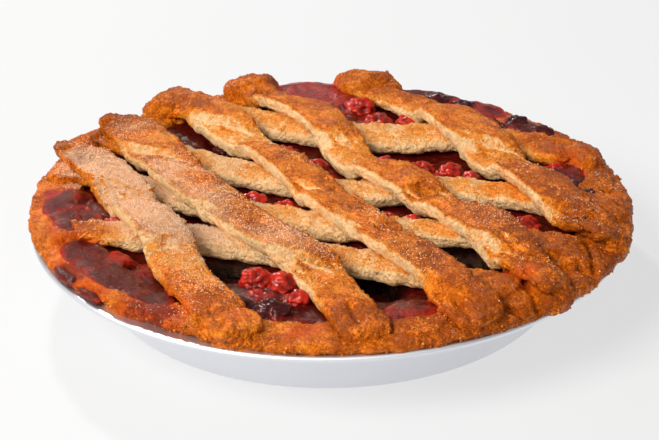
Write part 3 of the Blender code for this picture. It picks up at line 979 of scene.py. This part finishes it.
def scatter_berries(name, pattern, spots, material, seed):
    """Copies the pattern berry to each spot, squashed and turned a little differently."""
    rng = np.random.default_rng(seed)
    copies = []
    for x, y, radius, height, turn in spots:
        copy = bpy.data.objects.new(name, pattern.data.copy())
        bpy.context.scene.collection.objects.link(copy)
        squash = rng.uniform(0.72, 0.88)
        turned = Euler((rng.uniform(0, 6.28), rng.uniform(0, 6.28), math.radians(turn))).to_matrix().to_4x4()
        place = Matrix.Translation(Vector((x, y, height)) * MM)
        long = radius * MM * rng.uniform(0.95, 1.15)
        stretch = Matrix.Diagonal((long, radius * MM, radius * squash * MM, 1))
        copy.data.transform(place @ stretch @ turned)
        copies.append(copy)
    piece = join(copies, name)
    bpy.data.objects.remove(pattern)
    swell(piece, 5 * MM, 2.0 * MM)
    swell(piece, 1.8 * MM, 0.5 * MM)
    smooth_shading(piece)
    settle(piece, material, "filling")


class PIE_OT_berries(bpy.types.Operator):
    """Sink the red and the dark berries into the jelly"""

    bl_idname = "pie.berries"
    bl_label = "Sink the berries"

    def execute(self, context):
        fruit = context.scene.pie_fruit
        red = berry_material("red_berry_flesh", tuple(fruit.flesh), (0.52, 0.022, 0.012), fruit)
        dark = berry_material("dark_berry_skin", tuple(fruit.skin), (0.060, 0.010, 0.014), fruit)
        pattern = beaded_berry("red_pattern", 34, 0.29, RED_SEED)
        scatter_berries("red_berries", pattern, RED_BERRIES, red, RED_SCATTER)
        pattern = beaded_berry("dark_pattern", 44, 0.26, DARK_SEED)
        scatter_berries("dark_berries", pattern, DARK_BERRIES, dark, DARK_SCATTER)
        return {"FINISHED"}


# ---- Sugar and crumbs ----


CRYSTAL = np.array(((1, 0, 0), (-1, 0, 0), (0, 1, 0), (0, -1, 0), (0, 0, 1), (0, 0, -1))) * 0.6
CRYSTAL_FACES = ((0, 2, 4), (2, 1, 4), (1, 3, 4), (3, 0, 4), (2, 0, 5), (1, 2, 5), (3, 1, 5), (0, 3, 5))


def small_crystal(rng, size):
    """Corners of one sugar grain, with sides of its own and turned at random."""
    turned = np.array(Euler(rng.uniform(0, 6.28, 3)).to_matrix())
    return (CRYSTAL * size * rng.uniform(0.6, 1.35, 3)) @ turned.T


STRAY_SUGAR = 0.006  # chance of a grain away from the drifts


def dusted_spots(pieces, count, rng):
    """Spots on the pieces' surfaces, closer together where the painted sugar is thicker."""
    places, normals, weights = [], [], []
    for piece in pieces:
        where, facing = points_of(piece)
        places.append(where)
        normals.append(facing)
        drifted = np.clip(layer_of(piece, "sugar"), 0, None) ** 2
        weights.append(drifted + STRAY_SUGAR * smoothstep(0.3, 0.8, facing[:, 2]))
    places, normals, weights = np.concatenate(places), np.concatenate(normals), np.concatenate(weights)
    weights = weights * smoothstep(0.25, 0.6, normals[:, 2]) * (places[:, 2] > 31 * MM)
    chosen = rng.choice(len(places), size=count, replace=False, p=weights / weights.sum())
    return places[chosen], normals[chosen]


def dough_pieces():
    names = [node.replace("strip", "dough") for node in STRIPS] + ["crust_rim"]
    return [bpy.data.objects[name] for name in names]


class PIE_OT_sugar(bpy.types.Operator):
    """Dust the lattice with coarse sugar"""

    bl_idname = "pie.sugar"
    bl_label = "Dust with sugar"

    def execute(self, context):
        sugar = context.scene.pie_sugar
        rng = np.random.default_rng(SUGAR_SEED)
        places, normals = dusted_spots(dough_pieces(), sugar.grains, rng)
        points, faces = [], []
        for number, (place, normal) in enumerate(zip(places, normals)):
            size = sugar.grain_size * rng.uniform(0.55, 1.35)
            shift = rng.uniform(-0.3, 0.3, 3) * MM
            crystal = small_crystal(rng, size) + place + normal * size * 0.22
            points.append(crystal + shift * (1 - np.abs(normal)))
            faces += [tuple(corner + number * len(CRYSTAL) for corner in face) for face in CRYSTAL_FACES]
        mesh = bpy.data.meshes.new("sugar_grains")
        mesh.from_pydata(np.concatenate(points).tolist(), [], faces)
        piece = bpy.data.objects.new("sugar_grains", mesh)
        context.scene.collection.objects.link(piece)
        settle(piece, sugar_material(sugar), "pastry")
        return {"FINISHED"}


class PIE_OT_crumbs(bpy.types.Operator):
    """Leave loose crumbs along the rim and on the tin's edge"""

    bl_idname = "pie.crumbs"
    bl_label = "Leave crumbs"

    def execute(self, context):
        sugar = context.scene.pie_sugar
        crust = context.scene.pie_crust
        rng = np.random.default_rng(CRUMB_SEED)
        deselect()
        bpy.ops.mesh.primitive_ico_sphere_add(subdivisions=1, radius=1)
        pattern = context.object
        rim = bpy.data.objects["crust_rim"]
        where, facing = points_of(rim)
        reach = np.hypot(where[:, 0], where[:, 1])
        level = (where[:, 2] > 30 * MM) & (where[:, 2] < 33 * MM)
        outer = np.flatnonzero((reach > 112 * MM) & level & (facing[:, 2] < 0.6))
        chosen = rng.choice(outer, size=sugar.crumbs, replace=False)
        copies = []
        for spot, normal in zip(where[chosen], facing[chosen]):
            copy = bpy.data.objects.new("crumb", pattern.data.copy())
            context.scene.collection.objects.link(copy)
            size = rng.uniform(0.25, 0.75) ** 1.4 * MM
            turned = Euler(rng.uniform(0, 6.28, 3)).to_matrix().to_4x4()
            stretch = Matrix.Diagonal((size, size * rng.uniform(0.6, 1), size * rng.uniform(0.5, 0.9), 1))
            copy.data.transform(Matrix.Translation(Vector(spot + normal * 0.15 * MM)) @ turned @ stretch)
            copies.append(copy)
        piece = join(copies, "loose_crumbs")
        bpy.data.objects.remove(pattern)
        smooth_shading(piece)
        places, _ = points_of(piece)
        bare = np.zeros(len(places))
        paint(piece, bake=np.full(len(places), 0.42), sugar=bare, juice=bare)
        settle(piece, shared_pastry(crust), "pastry")
        return {"FINISHED"}


# ---- Stage ----


def area_light(name, power, size, place, colour=(1, 1, 1)):
    light = bpy.data.lights.new(name, "AREA")
    light.energy = power
    light.size = size
    light.color = colour
    lamp = bpy.data.objects.new(name, light)
    bpy.context.scene.collection.objects.link(lamp)
    lamp.location = place
    lamp.rotation_euler = (LIGHTS_AIM - Vector(place)).to_track_quat("-Z", "Y").to_euler()


class PIE_OT_stage(bpy.types.Operator):
    """Set out the floor, the soft lights and the camera"""

    bl_idname = "pie.stage"
    bl_label = "Set the stage"

    def execute(self, context):
        stage = context.scene.pie_stage
        scene = context.scene
        deselect()
        bpy.ops.mesh.primitive_plane_add(size=14, location=(0, 0, -0.2 * MM))
        floor = context.object
        floor.name = floor.data.name = "floor"
        floor.data.transform(Matrix.Translation(floor.location))
        floor.location = (0, 0, 0)
        floor.data.materials.append(floor_material(stage.floor_shade, stage.floor_glow))

        world = bpy.data.worlds.new("soft_sky")
        world.use_nodes = True
        sky = world.node_tree.nodes["Background"]
        sky.inputs["Color"].default_value = (0.97, 0.985, 1.0, 1)
        sky.inputs["Strength"].default_value = stage.sky
        scene.world = world
        area_light("key_light", stage.key, 0.75, (-0.85, -0.70, 0.95), colour=(1, 0.975, 0.94))
        area_light("glint_light", stage.key * 0.28, 0.09, (-0.40, 0.95, 0.80))
        area_light("front_light", stage.key * 0.12, 0.8, (0.25, -1.2, 0.9))

        camera_data = bpy.data.cameras.new("camera")
        camera_data.sensor_width = 36
        camera_data.lens = stage.lens
        camera_data.clip_start = 0.01
        camera = bpy.data.objects.new("camera", camera_data)
        scene.collection.objects.link(camera)
        pitch, yaw, roll = map(math.radians, (CAMERA_PITCH, CAMERA_YAW, CAMERA_ROLL))
        ahead = Vector((math.sin(yaw) * math.cos(pitch), math.cos(yaw) * math.cos(pitch), -math.sin(pitch)))
        level = ahead.cross(Vector((0, 0, 1))).normalized()
        upright = level.cross(ahead)
        right = math.cos(roll) * level + math.sin(roll) * upright
        up = -math.sin(roll) * level + math.cos(roll) * upright
        turned = Matrix((right, up, -ahead)).transposed().to_4x4()
        camera.matrix_world = Matrix.Translation(CAMERA_PLACE) @ turned
        scene.camera = camera
        scene.view_settings.view_transform = "Standard"
        scene.view_settings.look = "None"
        scene.view_settings.exposure = 0
        scene.view_settings.gamma = 1
        return {"FINISHED"}


# ---- Panel and registration ----

SETTINGS = {
    "pie_tin": PieTinSettings,
    "pie_crust": PieCrustSettings,
    "pie_fruit": PieFruitSettings,
    "pie_sugar": PieSugarSettings,
    "pie_stage": PieStageSettings,
}
OPERATORS = (
    PIE_OT_tin, PIE_OT_crust, PIE_OT_lattice, PIE_OT_filling, PIE_OT_spills, PIE_OT_berries,
    PIE_OT_sugar, PIE_OT_crumbs, PIE_OT_stage,
)


class PIE_PT_parts(bpy.types.Panel):
    """The pie's parts, in the order they are made"""

    bl_idname = "PIE_PT_parts"
    bl_label = "Lattice Pie"
    bl_space_type = "VIEW_3D"
    bl_region_type = "UI"
    bl_category = "Pie"

    def draw(self, context):
        for operator in OPERATORS:
            self.layout.operator(operator.bl_idname)
        for name, group in SETTINGS.items():
            box = self.layout.box()
            for setting in group.__annotations__:
                box.prop(getattr(context.scene, name), setting)


def register():
    for name, group in SETTINGS.items():
        bpy.utils.register_class(group)
        setattr(bpy.types.Scene, name, PointerProperty(type=group))
    for kind in OPERATORS + (PIE_PT_parts,):
        bpy.utils.register_class(kind)


def unregister():
    for kind in reversed(OPERATORS + (PIE_PT_parts,)):
        bpy.utils.unregister_class(kind)
    for name, group in SETTINGS.items():
        delattr(bpy.types.Scene, name)
        bpy.utils.unregister_class(group)


def main():
    register()
    for operator in OPERATORS:
        getattr(bpy.ops.pie, operator.bl_idname.split(".")[1])()


if __name__ == "__main__":
    main()
